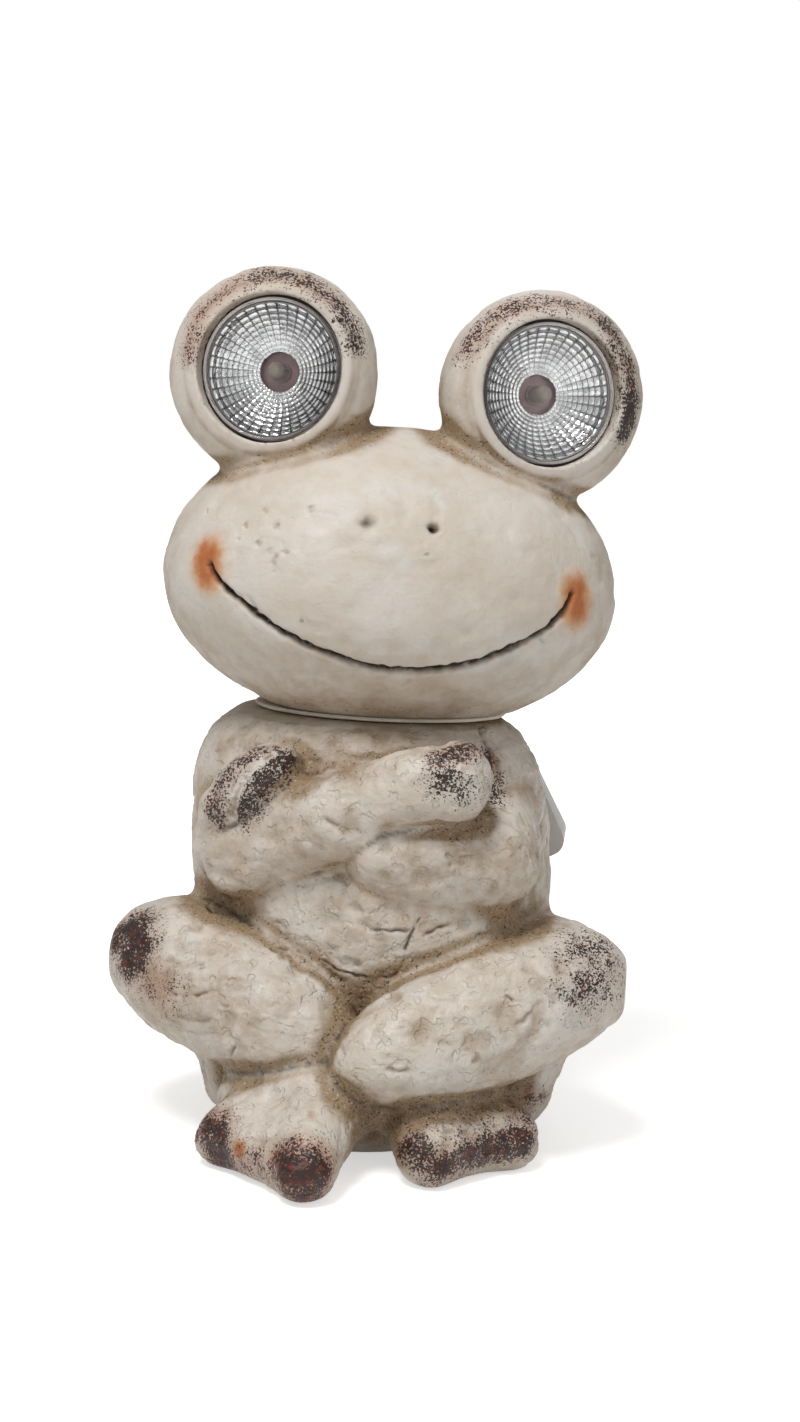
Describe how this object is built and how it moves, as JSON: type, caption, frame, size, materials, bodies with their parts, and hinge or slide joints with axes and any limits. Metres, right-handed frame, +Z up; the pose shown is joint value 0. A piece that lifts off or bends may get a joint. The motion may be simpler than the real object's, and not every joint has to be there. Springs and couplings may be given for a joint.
{
  "type": "solar frog figurine",
  "caption": "Cast stone garden frog sitting cross-legged with folded arms, with solar lamp eyes and a charging module on its back.",
  "frame": {"origin": "centre of the torso's flat base, on the surface that the frog stands on", "axes": "+Z up, -Y the way the frog faces, +X the frog's left"},
  "size_m": [0.1512, 0.1657, 0.2513],
  "materials": {
    "cast_stone": "painted cast stone, matt, washed with a brown patina",
    "mortar": "smooth cement joint",
    "housing_grey": "pale grey moulding, fine satin",
    "black_rubber": "soft black rubber",
    "panel_blue": "dark blue solar cells under clear resin",
    "screw_steel": "zinc-plated steel",
    "plug_nylon": "natural nylon",
    "board_green": "green solder mask",
    "coil_copper": "enamelled copper winding",
    "chip_black": "black epoxy",
    "lead_sleeve": "black insulated lead",
    "cell_wrap": "plain plastic sleeve",
    "contact_steel": "nickel-plated spring steel",
    "switch_black": "black moulding",
    "lens_clear": "clear moulded lens",
    "reflector_silver": "silvered facets",
    "cup_black": "black moulding",
    "led_clear": "clear epoxy"
  },
  "bodies": {
    "figure": {"body_casting": "cast_stone", "head_casting": "cast_stone", "neck_mortar": "mortar", "solar_housing": "housing_grey", "housing_base": "housing_grey", "housing_seal": "black_rubber", "cable_grommet": "black_rubber", "solar_panel": "panel_blue", "housing_screws": "screw_steel", "board_screws": "screw_steel", "wall_plugs": "plug_nylon", "circuit_board": "board_green", "boost_coil": "coil_copper", "controller_chip": "chip_black", "panel_leads": "lead_sleeve", "battery_cell": "cell_wrap", "battery_plate_contact": "contact_steel", "battery_spring_contact": "contact_steel", "switch_body": "switch_black", "eye_lens_left": "lens_clear", "eye_lens_right": "lens_clear", "eye_reflector_left": "reflector_silver", "eye_reflector_right": "reflector_silver", "eye_cup_left": "cup_black", "eye_cup_right": "cup_black", "eye_led_left": "led_clear", "eye_led_right": "led_clear", "eye_seal_left": "black_rubber", "eye_seal_right": "black_rubber", "eye_lead_left": "lead_sleeve", "eye_lead_right": "lead_sleeve"},
    "battery_door": {"battery_cover": "housing_grey", "battery_cover_seal": "black_rubber", "battery_cover_screw": "screw_steel"},
    "switch_knob": {"switch_slider": "switch_black"}
  },
  "joints": [
    {"name": "battery_cover_slide", "type": "slide", "parent": "figure", "child": "battery_door", "axis": [0, 0, -1], "range_m": [0, 0.02]},
    {"name": "switch_slide", "type": "slide", "parent": "figure", "child": "switch_knob", "axis": [1, 0, 0], "range_m": [0, 0.0025]}
  ]
}
